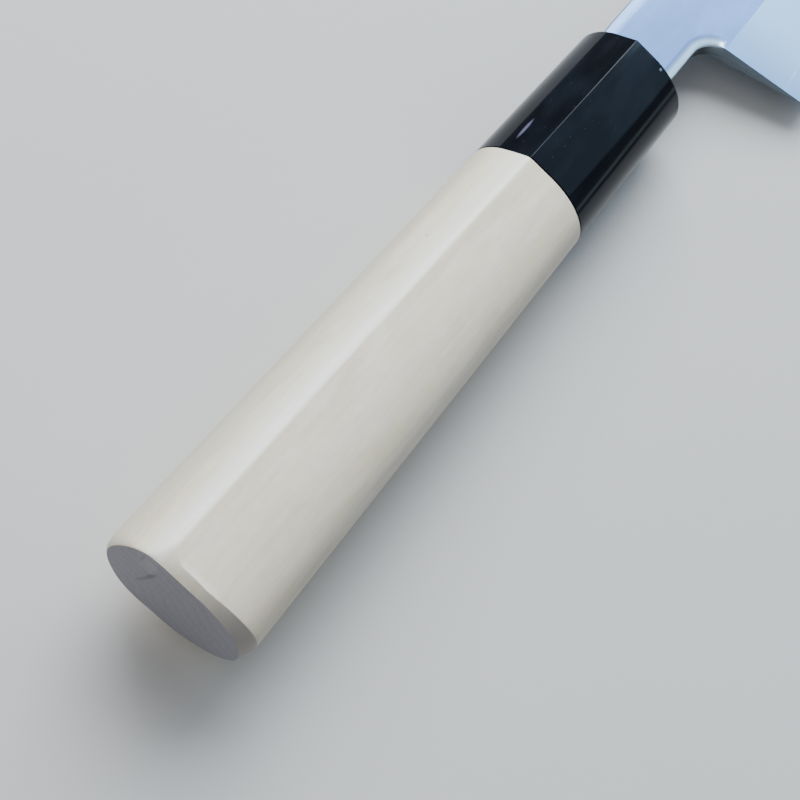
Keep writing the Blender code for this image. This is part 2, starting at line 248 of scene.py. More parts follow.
def ramp(tree, value, low, high, outLow=0.0, outHigh=1.0):
    # Rises smoothly from one level to another between two values
    node = addNode(tree, "ShaderNodeMapRange",
                   {"Value": value, "From Min": low, "From Max": high, "To Min": outLow, "To Max": outHigh},
                   interpolation_type="SMOOTHSTEP")
    return node.outputs["Result"]


def band(tree, value, rise, fall, strength=1.0):
    # A mask that comes in over the first pair of values and goes out over the second
    return times(tree, ramp(tree, value, *rise), ramp(tree, value, *fall, strength, 0.0))


def makeStreakGroup():
    # Noise drawn out by Stretch, in cells to a metre, and sharpened between Low and High
    group = bpy.data.node_groups.new("streaks", "ShaderNodeTree")
    for name, kind in (("Vector", "Vector"), ("Stretch", "Vector"), ("Detail", "Float"), ("Low", "Float"),
                       ("High", "Float")):
        group.interface.new_socket(name=name, in_out="INPUT", socket_type="NodeSocket" + kind)
    group.interface.new_socket(name="Mask", in_out="OUTPUT", socket_type="NodeSocketFloat")
    source = addNode(group, "NodeGroupInput").outputs
    scaled = addNode(group, "ShaderNodeVectorMath", {0: source["Vector"], 1: source["Stretch"]},
                     operation="MULTIPLY")
    noise = addNode(group, "ShaderNodeTexNoise", {"Vector": scaled.outputs[0], "Scale": 1.0,
                                                  "Detail": source["Detail"], "Roughness": noiseRoughness})
    mask = ramp(group, noise.outputs["Fac"], source["Low"], source["High"])
    addNode(group, "NodeGroupOutput", {"Mask": mask})
    return group


noiseRoughness = 0.6
streakGroup = makeStreakGroup()


def streaks(tree, vector, stretch, low, high, detail):
    node = addNode(tree, "ShaderNodeGroup",
                   {"Vector": vector, "Stretch": stretch, "Detail": detail, "Low": low, "High": high},
                   node_tree=streakGroup)
    return node.outputs["Mask"]


def facing(tree, axis):
    # 1 where the surface faces along an axis, -1 where it faces back
    geometry = addNode(tree, "ShaderNodeNewGeometry")
    node = addNode(tree, "ShaderNodeVectorMath", {0: geometry.outputs["Normal"], 1: axis},
                   operation="DOT_PRODUCT")
    return node.outputs["Value"]


def makeMark(tree, parts, place, reach, lean=0.0):
    # A small spot at a place, with its half sizes, both in millimetres
    offs = {axis: sums(tree, "SUBTRACT", times(tree, parts[axis], 1000.0), middle)
            for axis, middle in zip("XYZ", place)}
    offs["Y"] = sums(tree, "ADD", offs["Y"], times(tree, offs["Z"], lean))
    squares = 0.0
    for axis, half in zip("XYZ", reach):
        share = sums(tree, "DIVIDE", offs[axis], half)
        squares = sums(tree, "ADD", times(tree, share, share), squares)
    return ramp(tree, squares, 0.10, 1.0, 1.0, 0.0)


def feedShader(tree, shader, colour, rough, height, strength, distance):
    bump = addNode(tree, "ShaderNodeBump", {"Height": height, "Strength": strength, "Distance": distance})
    tree.links.new(colour, shader.inputs["Base Color"])
    tree.links.new(rough, shader.inputs["Roughness"])
    tree.links.new(bump.outputs["Normal"], shader.inputs["Normal"])


# Handle: an oval with one ridge on its right side

handle = {
    "buttHeight": 0.0241, "buttWidth": 0.0188,
    "mouthHeight": 0.0200, "mouthWidth": 0.0165,
    "buttRidge": (0.0044, 0.0098),      # rise towards the spine, and out to the right
    "mouthRidge": (0.0027, 0.0086),
    "ridgeRounding": 0.0005,
    "jointRounding": 0.0010,            # the ridge is rounder where the wood meets the ferrule
    "spineFullness": 0.03,
    "crownTurn": math.radians(25),      # the side between spine and ridge is a little crowned
    "crownPull": 0.60, "straightPull": 0.40,     # where its curve's middle point lies, with and without
    "crownFade": 0.012,                 # the crown flattens out from here to the ferrule
    "crownLeft": 0.15,                  # what is left of it there
    "arcSteps": 112,
    "lineSteps": 8,
    "crownSteps": 14,
    "ridgeSteps": 8,
    "roundingLimits": (0.45, 0.9),      # most of the sides next to the ridge that its rounding takes
}


def handleRing(along, inset=0.0, ridgeInset=None, rounding=None, crown=None):
    # A section of the handle: the oval's arc, the crowned side, the ridge and the flat side
    share = along / knife["handleLength"]
    halfHeight = mix(handle["buttHeight"], handle["mouthHeight"], share) / 2 - inset
    halfWidth = mix(handle["buttWidth"], handle["mouthWidth"], share) / 2 - inset
    rise = mix(handle["buttRidge"][0], handle["mouthRidge"][0], share)
    out = mix(handle["buttRidge"][1], handle["mouthRidge"][1], share)
    shrink = 1 - (inset if ridgeInset is None else ridgeInset) / math.hypot(rise, out)
    ridge = Vector((rise * shrink, out * shrink))
    reach = math.hypot(ridge.x / halfHeight, ridge.y / halfWidth)
    middle = math.atan2(ridge.y / halfWidth, ridge.x / halfHeight)
    spread = math.acos(1 / reach)
    points = []
    if crown is None:
        crown = mix(1.0, handle["crownLeft"], ease(handle["crownFade"], knife["joint"], along))
    crownTurn = handle["crownTurn"] * crown
    leave = middle - spread - crownTurn + 2 * math.pi
    for step in range(handle["arcSteps"] + 1):
        turn = mix(middle + spread, leave, step / handle["arcSteps"])
        points.append(Vector((halfHeight * math.cos(turn), halfWidth * math.sin(turn))))
    first, last = points[0], points[-1]
    crownPull = mix(handle["straightPull"], handle["crownPull"], crown)
    pull = last + Vector((-halfHeight * math.sin(leave), halfWidth * math.cos(leave))) * crownPull
    if rounding is None:
        rounding = mix(handle["ridgeRounding"], handle["jointRounding"], along / knife["joint"])
    crownLimit, flatLimit = handle["roundingLimits"]
    stop = 1 - min(rounding / (last - ridge).length, crownLimit)
    far = ridge.lerp(first, min(rounding / (first - ridge).length, flatLimit))
    for step in range(1, handle["crownSteps"] + 1):
        part = stop * step / handle["crownSteps"]
        points.append(last.lerp(pull, part).lerp(pull.lerp(ridge, part), part))
    near = points[-1]
    heading = last.lerp(pull, stop) - pull.lerp(ridge, stop)
    corner = near + heading * ((far - near).cross(far - first) / heading.cross(far - first))
    for step in range(1, handle["ridgeSteps"] + 1):
        part = step / handle["ridgeSteps"]
        points.append(near.lerp(corner, part).lerp(corner.lerp(far, part), part))
    for step in range(1, handle["lineSteps"]):
        points.append(far.lerp(first, step / handle["lineSteps"]))
    fullness = handle["spineFullness"]
    return [Vector((along, p.x, p.y * (1 + fullness * p.x / halfHeight))) for p in points]


def tangRing(along, gap):
    # The tang's four corners at a distance behind the ferrule's mouth, grown by a gap
    taper = max(along - tang["straight"], 0.0) / (tang["length"] - tang["straight"])
    halfHeight = mix(tang["height"], tang["endHeight"], taper) / 2 + gap
    thinning = max(along, 0.0) / tang["length"]
    halfThickness = mix(knife["neckThickness"], tang["endThickness"], thinning) / 2 + gap
    x = knife["handleLength"] - along
    low, high = tang["rise"] - halfHeight, tang["rise"] + halfHeight
    return [Vector((x, low, -halfThickness)), Vector((x, high, -halfThickness)),
            Vector((x, high, halfThickness)), Vector((x, low, halfThickness))]


tang = {
    "length": 0.0780, "straight": 0.0080, "rise": 0.0010,
    "height": 0.0096, "endHeight": 0.0050, "endThickness": 0.0020,
}


# Wooden grip

grip = {
    "buttSteps": 12, "buttBulge": 0.06, "buttRun": 0.0020, "deepest": 0.0012,
    "buttEdge": [                # rise on the outline, then length, depth and roundness of the edge
        (-0.0120, 0.0029, 0.00105, 0.0),
        (-0.0080, 0.0021, 0.00092, 0.0),
        (-0.0025, 0.0013, 0.00085, 0.0),
        (0.0022, 0.0016, 0.00102, 0.0),
        (0.0043, 0.0031, 0.00062, 0.3),
        (0.0066, 0.0011, 0.00020, 1.0),
        (0.0085, 0.0011, 0.00028, 1.0),
        (0.0120, 0.0024, 0.00080, 1.0),
    ],
    "ridgeRow": 0.0043,          # the ridge's row, which the left side hasn't got
    "ridgeShare": 0.80,          # how much of the inset the ridge gets
    "faceRounding": 0.0026,      # the ridge is rounder on the butt's face
    "buttPlace": 0.00003,
    "bodyStart": 0.0005, "bodySteps": 10,
    "tenonLength": 0.0240, "tenonInset": 0.0027, "tenonChamfer": 0.0010,
    "holeEnd": 0.0040,           # the tang's hole is cut up to here behind the mouth
    "jointEasing": 0.00012,
    "smoothAngle": 24,
    "cream": (0.960, 0.835, 0.642, 1.0),
    "rose": (0.900, 0.680, 0.480, 1.0),
    "straw": (0.880, 0.765, 0.475, 1.0),
    "fibre": (0.680, 0.545, 0.370, 1.0),
    "paintedHighlight": (1.000, 0.925, 0.755, 1.0),     # painted highlight along the ridge on the upper side, also used for the line behind the butt's edge
    "cutShade": (0.300, 0.255, 0.225, 1.0),
    "endGrain": (0.297, 0.280, 0.300, 1.0),
    "spineShade": (0.560, 0.510, 0.370, 1.0),
    "stain": (0.090, 0.085, 0.090, 1.0),
    "endShade": (0.262, 0.248, 0.276, 1.0),
    "knot": (0.280, 0.200, 0.140, 1.0),
    "pinSpot": (65.0, 7.07, 6.81),           # millimetres
    "pinSize": (0.40, 0.30, 0.30), "pinStrength": 0.45,
    "flecks": [                              # place and half sizes in millimetres, lean, strength
        ((0.0, 4.55, 3.10), (2.0, 0.50, 2.1), 0.30, 0.55),
        ((0.0, 5.35, 0.10), (2.0, 0.42, 2.9), 0.33, 0.38),
        ((0.0, 6.74, 6.83), (2.0, 0.40, 1.6), 0.10, 0.32),
    ],
    "ringSpacing": 0.0021,       # growth rings, metres apart
    "pith": (0.030, -0.048),     # middle of the tree, across the handle
    "ringWander": 0.0030, "lateRun": (0.35, 0.97),
    "grain": {                   # stretch in cells to a metre, limits, detail
        "wander": ((9, 90, 90), 0.2, 0.8, 3.0),
        "rose": ((60, 260, 260), 0.48, 0.66, 2.0),
        "straw": ((45, 230, 330), 0.44, 0.64, 2.0),
        "mottle": ((330, 620, 620), 0.38, 0.66, 3.0),
        "fibres": ((95, 1500, 1500), 0.32, 0.72, 5.0),
        "pores": ((560, 6200, 6200), 0.60, 0.72, 2.0),
        "endPores": ((2600, 2600, 2600), 0.55, 0.72, 2.0),
        "endClouds": ((160, 160, 160), 0.30, 0.75, 3.0),
    },
    "roseRun": (-0.002, 0.006, 0.30, 0.75),  # from the belly to the spine, metres and strengths
    "strawShare": 0.60, "mottleShare": 0.15, "lateShare": 0.14, "fibreShare": 0.24, "poreShare": 0.30,
    "highlightRun": ((-0.0003, 0.0002), (0.0006, 0.0044)),      # off the ridge, towards the spine
    "highlightShare": 0.95, "highlightPolish": 0.18,
    "creaseAlong": ((0.0013, 0.0016), (0.0018, 0.0027)),   # the painted highlight line behind the butt's edge
    "creaseAcross": ((-0.0050, -0.0025), (0.0018, 0.0030)),
    "creaseShare": 0.65,
    "upperSide": (0.003, 0.005),             # where the handle's right side begins
    "spineTurn": (0.62, 0.95, 0.0, 0.75),    # facing, and strength of the shade
    "bellyTurn": (-0.58, -0.92, 0.0, 0.50),
    "endTurn": (-0.93, -0.985),              # facing of the butt's flat end, and of its cut edge
    "cutTurn": (-0.16, -0.30),
    "cutRun": (-0.0090, 0.0025, 1.0, 0.08), "cutShare": 0.92,
    "endLateShare": 0.12, "endPoreShare": 0.16, "endCloudShare": 0.35,
    "rough": (0.40, 0.54), "endRough": 0.15, "specular": 0.45,
    "fibreRise": 0.4, "poreFall": 0.6, "bump": (0.35, 0.00006),
}


def buttEdgeAt(point):
    # The edge's length, depth and roundness at a point of the outline
    rows = [row for row in grip["buttEdge"] if point.z > 0 or row[0] != grip["ridgeRow"]]
    for lower, upper in zip(rows, rows[1:]):
        if point.y < upper[0] or upper is rows[-1]:
            share = min(max((point.y - lower[0]) / (upper[0] - lower[0]), 0.0), 1.0)
            return [mix(a, b, share) for a, b in zip(lower[1:], upper[1:])]


def buttRing(share):
    # From the butt's face to the body: a flat cut on belly and flat side, a rounded edge at the spine
    deepest = grip["deepest"]
    rounding = mix(grip["faceRounding"], handle["ridgeRounding"], share)
    along = grip["buttRun"] * share
    outer = handleRing(along, 0.0, 0.0, rounding)
    inner = handleRing(along, deepest, deepest * grip["ridgeShare"], rounding)
    turn = share * math.pi / 2
    cut = 1 - share - grip["buttBulge"] * 4 * share * (1 - share)
    points = []
    for far, near in zip(outer, inner):
        length, depth, roundness = buttEdgeAt(far)
        point = far.lerp(near, depth / deepest * mix(cut, 1 - math.sin(turn), roundness))
        point.x = grip["buttPlace"] + length * mix(share, 1 - math.cos(turn), roundness)
        points.append(point)
    return points


def makeMagnolia():
    material, tree, shader = startMaterial("magnoliaWood")
    vector = knifeSpace(tree)
    parts = splitPlace(tree, vector)
    grain = {name: streaks(tree, vector, *values) for name, values in grip["grain"].items()}

    # Growth rings round the pith, dark at the end of each year
    across = addNode(tree, "ShaderNodeCombineXYZ", {"Y": parts["Y"], "Z": parts["Z"]})
    toPith = addNode(tree, "ShaderNodeVectorMath",
                     {0: across.outputs["Vector"], 1: (0.0, *grip["pith"])}, operation="DISTANCE")
    distance = sums(tree, "ADD", toPith.outputs["Value"], times(tree, grain["wander"], grip["ringWander"]))
    ringShare = sums(tree, "FRACT", sums(tree, "DIVIDE", distance, grip["ringSpacing"]), 0.0)
    lateWood = ramp(tree, ringShare, *grip["lateRun"])

    # Long grain
    warmSide = ramp(tree, parts["Y"], *grip["roseRun"])
    colour = tint(tree, grip["cream"], grain["rose"], warmSide, grip["rose"])
    colour = tint(tree, colour, grain["straw"], grip["strawShare"], grip["straw"])
    colour = tint(tree, colour, grain["mottle"], grip["mottleShare"], grip["fibre"])
    colour = tint(tree, colour, lateWood, grip["lateShare"], grip["fibre"])
    colour = tint(tree, colour, grain["fibres"], grip["fibreShare"], grip["fibre"])
    colour = tint(tree, colour, grain["pores"], grip["poreShare"], grip["fibre"])

    # Painted highlight along the ridge, and a painted highlight line behind the butt's edge
    upper = ramp(tree, parts["Z"], *grip["upperSide"])
    climb = (handle["mouthRidge"][0] - handle["buttRidge"][0]) / knife["handleLength"]
    offRidge = sums(tree, "SUBTRACT", parts["Y"], times(tree, parts["X"], climb))
    offRidge = sums(tree, "SUBTRACT", offRidge, handle["buttRidge"][0])
    # painted highlight: a pale band beside the ridge, where the roughness is also lowered
    ridgeHighlight = times(tree, band(tree, offRidge, *grip["highlightRun"], grip["highlightShare"]), upper)
    colour = blend(tree, ridgeHighlight, colour, grip["paintedHighlight"])
    # painted highlight: a pale line along the crease behind the butt's edge
    crease = times(tree, band(tree, parts["X"], *grip["creaseAlong"], grip["creaseShare"]),
                   band(tree, parts["Y"], *grip["creaseAcross"]))
    colour = blend(tree, times(tree, crease, upper), colour, grip["paintedHighlight"])

    # Painted shade along the spine's and the belly's edges, and the pin's mark
    sideways = facing(tree, axisSpine)
    # painted shade where the handle turns away towards the spine and towards the belly
    colour = blend(tree, ramp(tree, sideways, *grip["spineTurn"]), colour, grip["spineShade"])
    colour = blend(tree, ramp(tree, sideways, *grip["bellyTurn"]), colour, grip["cutShade"])
    pin = makeMark(tree, parts, grip["pinSpot"], grip["pinSize"])
    colour = tint(tree, colour, pin, grip["pinStrength"], grip["knot"])

    # The butt's cut edge and its end grain: the cut edge is darker for its cut grain and, towards the belly,
    # for painted shade; the end grain's dark grey tone is partly its own and partly painted shade
    toButt = facing(tree, axisAlong)
    endMask = ramp(tree, toButt, *grip["endTurn"])
    # partly cut grain, partly painted shade that grows towards the belly
    cut = times(tree, ramp(tree, toButt, *grip["cutTurn"]), ramp(tree, parts["Y"], *grip["cutRun"]))
    colour = tint(tree, colour, cut, grip["cutShare"], grip["cutShade"])
    # end grain: partly its own darker tone, partly painted shade of the face turned from the light
    endColour = tint(tree, grip["endGrain"], lateWood, grip["endLateShare"], grip["stain"])
    endColour = tint(tree, endColour, grain["endPores"], grip["endPoreShare"], grip["stain"])
    endColour = tint(tree, endColour, grain["endClouds"], grip["endCloudShare"], grip["endShade"])
    for place, reach, lean, strength in grip["flecks"]:
        endColour = tint(tree, endColour, makeMark(tree, parts, place, reach, lean), strength, grip["stain"])
    colour = blend(tree, endMask, colour, endColour)

    rough = ramp(tree, grain["fibres"], 0.0, 1.0, *grip["rough"])
    rough = sums(tree, "SUBTRACT", rough, times(tree, ridgeHighlight, grip["highlightPolish"]))
    rough = sums(tree, "ADD", rough, times(tree, endMask, grip["endRough"]))
    shader.inputs["Specular IOR Level"].default_value = grip["specular"]
    height = sums(tree, "SUBTRACT", times(tree, grain["fibres"], grip["fibreRise"]),
                  times(tree, grain["pores"], grip["poreFall"]))
    feedShader(tree, shader, colour, rough, height, *grip["bump"])
    return material


def makeGrip():
    joint = knife["joint"]
    easing = grip["jointEasing"]
    inset = grip["tenonInset"]
    end = joint + grip["tenonLength"]
    rings = [buttRing(step / grip["buttSteps"]) for step in range(grip["buttSteps"] + 1)]
    start = max(row[1] for row in grip["buttEdge"]) + grip["bodyStart"]
    for step in range(grip["bodySteps"] + 1):
        rings.append(handleRing(mix(start, joint - easing, step / grip["bodySteps"])))
    rings.append(handleRing(joint, easing))
    rings.append(handleRing(joint, inset))
    rings.append(handleRing(end - grip["tenonChamfer"], inset))
    rings.append(handleRing(end, inset + grip["tenonChamfer"]))
    piece = loftBody("woodGrip", rings)
    fit = knife["fit"]
    carve(piece, loftBody("tangHole", [tangRing(tang["length"] + fit, fit), tangRing(tang["straight"], fit),
                                       tangRing(grip["holeEnd"], fit)]))
    smoothPiece(piece, grip["smoothAngle"])
    layDown(piece, "grip", makeMagnolia())


# Black ferrule

ferrule = {
    "wall": 0.0024, "seam": 0.0001,
    "backEasing": 0.00015, "mouthEasing": 0.00050, "easingSteps": 6,
    "bodySteps": 6,
    "ridgeRounding": (0.00010, 0.00080),     # at the wood and at the mouth
    "black": (0.0028, 0.0036, 0.0056, 1.0),
    "smoky": (0.0070, 0.0094, 0.0136, 1.0),
    "dust": (0.045, 0.048, 0.055, 1.0),
    # a painted glint on the rim near the mouth
    "mouthGlint": (0.250, 0.300, 0.360, 1.0),
    "mouthGlintSpot": (117.0, -3.15, 7.80),        # millimetres
    "mouthGlintSize": (0.38, 0.30, 0.60), "mouthGlintStrength": 0.6,
    # a painted reflection: a short pale streak on the spine side near the wood
    "sideGlint": (0.150, 0.140, 0.210, 1.0),
    "sideGlintSpot": (91.6, 6.83, 6.58),
    "sideGlintSize": (2.9, 0.30, 0.60), "sideGlintStrength": 0.7,
    "grain": {                   # stretch in cells to a metre, limits, detail
        "scratches": ((90, 6500, 6500), 0.60, 0.72, 2.0),
        "haze": ((60, 220, 220), 0.35, 0.80, 3.0),
        "specks": ((1700, 1700, 1700), 0.73, 0.78, 1.0),
        "waves": ((45, 260, 260), 0.2, 0.8, 1.0),
        "smoke": ((75, 190, 190), 0.40, 0.72, 2.0),
    },
    "smokeShare": 0.8, "dustShare": 0.35,
    "rough": (0.08, 0.15), "scratchRough": 0.08, "refraction": 1.45, "specular": 0.18,
    "scratchDepth": 0.05, "bump": (0.06, 0.00010),
    "smoothAngle": 35,
}
seal = {
    "wall": 0.0007, "length": 0.0050, "recess": 0.0002, "skin": 0.00002,
    "front": [                   # how far the front sinks, at distances from the tang
        (0.00000, 0.00128), (0.00012, 0.00115), (0.00032, 0.00085),
        (0.00036, 0.00055), (0.00024, 0.00020), (0.00016, 0.0),
    ],
    "resin": (0.030, 0.018, 0.012, 1.0),
    "pale": (0.065, 0.042, 0.027, 1.0),
    "clouds": ((700, 700, 700), 0.3, 0.8, 4.0),
    "pits": ((3200, 3200, 3200), 0.62, 0.72, 2.0),
    "paleShare": 0.7, "rough": (0.28, 0.50), "bump": (0.5, 0.00008),
    "smoothAngle": 40,
}


def makeBlackResin():
    material, tree, shader = startMaterial("blackResin")
    vector = knifeSpace(tree)
    parts = splitPlace(tree, vector)
    grain = {name: streaks(tree, vector, *values) for name, values in ferrule["grain"].items()}
    colour = tint(tree, ferrule["black"], grain["smoke"], ferrule["smokeShare"], ferrule["smoky"])
    colour = tint(tree, colour, grain["specks"], ferrule["dustShare"], ferrule["dust"])
    # painted glint: a pale spot near the mouth's rim
    mouthGlint = makeMark(tree, parts, ferrule["mouthGlintSpot"], ferrule["mouthGlintSize"])
    colour = tint(tree, colour, mouthGlint, ferrule["mouthGlintStrength"], ferrule["mouthGlint"])
    # painted reflection: a short pale violet streak on the spine side
    sideGlint = makeMark(tree, parts, ferrule["sideGlintSpot"], ferrule["sideGlintSize"])
    colour = tint(tree, colour, sideGlint, ferrule["sideGlintStrength"], ferrule["sideGlint"])
    rough = sums(tree, "ADD", ramp(tree, grain["haze"], 0.0, 1.0, *ferrule["rough"]),
                 times(tree, grain["scratches"], ferrule["scratchRough"]))
    shader.inputs["IOR"].default_value = ferrule["refraction"]
    shader.inputs["Specular IOR Level"].default_value = ferrule["specular"]
    height = sums(tree, "SUBTRACT", grain["waves"], times(tree, grain["scratches"], ferrule["scratchDepth"]))
    feedShader(tree, shader, colour, rough, height, *ferrule["bump"])
    return material


def makeFerrule():
    start = knife["joint"] + ferrule["seam"]
    mouth = knife["handleLength"]
    back, front = ferrule["backEasing"], ferrule["mouthEasing"]
    softBack, softFront = ferrule["ridgeRounding"]
    turns = [step / ferrule["easingSteps"] * math.pi / 2 for step in range(ferrule["easingSteps"] + 1)]

    def ring(along, inset, soft):
        # The ferrule's sides are straight, without the grip's crown
        return handleRing(along, inset, rounding=soft, crown=0.0)

    rings = [ring(start + back * (1 - math.cos(turn)), back * (1 - math.sin(turn)), softBack)
             for turn in turns]
    for step in range(1, ferrule["bodySteps"]):
        share = step / ferrule["bodySteps"]
        rings.append(ring(mix(start, mouth, share), 0.0, mix(softBack, softFront, share)))
    rings += [ring(mouth - front * (1 - math.sin(turn)), front * (1 - math.cos(turn)), softFront)
              for turn in turns]
    piece = loftBody("blackFerrule", rings)
    fit, past = knife["fit"], knife["past"]
    socketEnd = knife["joint"] + grip["tenonLength"] + fit
    carve(piece, loftBody("socket", [handleRing(start - past, ferrule["wall"]),
                                     handleRing(socketEnd, ferrule["wall"])]))
    carve(piece, loftBody("slot", [tangRing(mouth - socketEnd + past, fit), tangRing(-past, fit)]))
    room = seal["wall"] + 2 * fit
    carve(piece, loftBody("sealSeat", [tangRing(seal["recess"] + seal["length"] + fit, room),
                                       tangRing(-past, room)]))
    smoothPiece(piece, ferrule["smoothAngle"])
    layDown(piece, "ferrule", makeBlackResin())


def makeSealResin():
    material, tree, shader = startMaterial("sealResin")
    vector = knifeSpace(tree)
    clouds = streaks(tree, vector, *seal["clouds"])
    pits = streaks(tree, vector, *seal["pits"])
    colour = tint(tree, seal["resin"], clouds, seal["paleShare"], seal["pale"])
    rough = ramp(tree, clouds, 0.0, 1.0, *seal["rough"])
    feedShader(tree, shader, colour, rough, sums(tree, "SUBTRACT", clouds, pits), *seal["bump"])
    return material


def makeSeal():
    # Resin poured round the tang: it fills its seat, and its front sinks between tang and ferrule
    back = seal["recess"] + seal["length"]
    skin, past = seal["skin"], knife["past"]
    rings = [tangRing(back, seal["front"][0][1])]
    rings += [tangRing(seal["recess"] + sunk, around) for sunk, around in seal["front"]]
    piece = loftBody("tangSealResin", rings)
    carve(piece, loftBody("sealHole", [tangRing(back + past, skin), tangRing(-past, skin)]))
    smoothPiece(piece, seal["smoothAngle"])
    layDown(piece, "tang_seal", makeSealResin())


# Blade

blade = {
    "shoulder": 0.1192, "flare": 0.0003, "flareLength": 0.0045,
    "spineRise": 0.0082, "neckDrop": 0.0055,
    "notch": 0.1356, "notchRadius": 0.0050, "notchSteps": 30,
    "heelLean": math.radians(15.5),
    "edgeDrop": 0.0260, "edgeTipDrop": 0.0248, "edgeLand": 0.00006,
    "tipRadius": 0.0440, "tipSteps": 70,
    "bevelLine": 0.0091, "bevelTipLine": 0.0080,
    "toolReach": 0.004,                   # how far the outline's cutter reaches to both sides
    "spineCrown": (0.0016, 0.00042),      # how far in and how deep its soft slope goes
    "neckCrown": (0.0016, 0.00036),
    "tipFade": (0.0060, -0.0058),         # the spine's slope runs out between these rises at the tip
    "tipEnd": -0.0064,                    # and its edge ends here
    "cornerFade": (-0.0078, -0.0092),     # the neck's slope runs out at the heel's corner
    "crownSoftness": 0.45, "crownSteps": 6,
    "cornerRadius": 0.00025, "cornerSteps": 4, "leftSteps": 3,
    "cornerAngle": math.radians(45),      # the angle that counts as a corner
    "creaseAngle": math.radians(0.5),     # the least crease that is rounded
    "sliverAngle": math.radians(0.45),    # and the most that is merged with the flat
    "flatFacing": 0.999, "hollowFacing": 0.9,
    "lineAngle": math.radians(3), "hollowAngle": math.radians(0.4),
    "cleanAngle": math.radians(0.02), "cleanDistance": 0.0000002,
    "smoothAngle": 25,
    "hardLayer": 0.0009, "hardStart": 0.1310, "weldGap": 0.00003,
    "seamWave": 0.00006, "seamSteps": 150, "seamSpan": (0.012, -0.030), "seamParts": 28,
    "seamWaves": [                        # size, length, lean to the edge, start
        (1.0, 0.0047, 0.0, 0.8),
        (0.6, 0.0019, 250.0, 0.0),
        (0.35, 0.00083, 0.0, 2.1),
    ],
    "hollowDepth": 0.00035, "hollowRim": 0.0022, "hollowSteps": 16, "hollowSpread": 1.02,
    "stations": 14,
    "iron": (0.144, 0.219, 0.385, 1.0),
    "ironDark": (0.116, 0.178, 0.322, 1.0),
    "steel": (0.480, 0.580, 0.740, 1.0),
    "steelDark": (0.385, 0.475, 0.630, 1.0),
    "paleBevel": (0.560, 0.800, 1.000, 1.0),
    "heelBevel": (0.370, 0.580, 0.860, 1.0),
    "heelBevelRun": (0.1365, 0.1500),
    "neckShade": (0.094, 0.150, 0.270, 1.0),
    # painted highlight on the neck's soft slope
    "paintedSlopeLight": (0.720, 0.910, 1.000, 1.0),
    "paintedSideShade": (0.070, 0.080, 0.100, 1.0),     # painted shade on the heel's thin side
    "ironRough": (0.27, 0.38), "steelRough": (0.20, 0.31), "cloudRough": 0.05, "bevelRough": 0.10,
    "lengthwise": ((180, 9000, 900), 0.30, 0.72, 2.0),
    "crosswise": ((9000, 260, 900), 0.30, 0.72, 2.0),
    "clouds": ((65, 150, 150), 0.30, 0.75, 3.0),
    "polishShare": 0.30, "bevelShare": 0.95, "bevelBlur": 0.00006,
    "rightTurn": (0.3, 0.6),                   # facing of the right side
    "flatTurn": (0.30, 0.70),                  # facing of what is polished along
    "slopeTurn": (0.974, 0.998, 1.0, 0.0),     # facing of the soft slopes
    "sideTurn": (0.25, 0.55, 1.0, 0.0),        # facing of the thin sides
    "bellyTurn": (-0.1, 0.4, 0.9, 0.0),
    "neckShare": 0.92,
    "slopeAlong": (0.1400, 0.1410, 1.0, 0.0),  # the painted highlight is strong on the neck's slope, faint on the spine's
    "slopeAcross": (-0.002, 0.002, 1.0, 0.06),
    "bump": (0.07, 0.00002),
}


def rightSide(x):
    share = (x - knife["handleLength"]) / (knife["tip"] - knife["handleLength"])
    return leftSide + mix(knife["neckThickness"], knife["tipThickness"], share)


def edgeAt(x):
    share = (x - knife["heel"]) / (knife["tip"] - knife["heel"])
    return -mix(blade["edgeDrop"], blade["edgeTipDrop"], share)


def bevelLineAt(x):
    share = (x - knife["heel"]) / (knife["tip"] - knife["heel"])
    return -mix(blade["bevelLine"], blade["bevelTipLine"], share)


def stockRing(x):
    # A section of the bar: flat on the left, bevelled to the edge on the right
    line = bevelLineAt(x)
    high = rightSide(x)
    slope = (high - leftSide - blade["edgeLand"]) / (line - edgeAt(x))
    bottom = edgeAt(x) - blade["edgeLand"] / slope / 2
    top = blade["spineRise"] + knife["past"]
    return [Vector((x, bottom, leftSide)), Vector((x, bottom, leftSide + blade["edgeLand"] / 2)),
            Vector((x, line, high)), Vector((x, top, high)), Vector((x, top, leftSide))]


def tangStockRing(x):
    half = mix(knife["neckThickness"], tang["endThickness"], (knife["handleLength"] - x) / tang["length"]) / 2
    heights = (-half, blade["edgeLand"] / 2 - half, half, half, -half)
    return [Vector((x, p.y, z)) for p, z in zip(stockRing(knife["handleLength"]), heights)]


def tipCurve():
    centreRise = blade["spineRise"] - blade["tipRadius"]
    drop = math.acos((-blade["edgeTipDrop"] - centreRise) / blade["tipRadius"])
    centre = knife["tip"] - blade["tipRadius"] * math.sin(drop)
    points = []
    for step in range(blade["tipSteps"] + 1):
        turn = drop * step / blade["tipSteps"]
        points.append((centre + blade["tipRadius"] * math.sin(turn),
                       centreRise + blade["tipRadius"] * math.cos(turn)))
    return points


def notchCurve():
    radius = blade["notchRadius"]
    middle = (blade["notch"] - radius, -blade["neckDrop"] - radius)
    points = []
    for step in range(blade["notchSteps"] + 1):
        turn = mix(blade["heelLean"], math.pi / 2, step / blade["notchSteps"])
        points.append((middle[0] + radius * math.cos(turn), middle[1] + radius * math.sin(turn)))
    return points


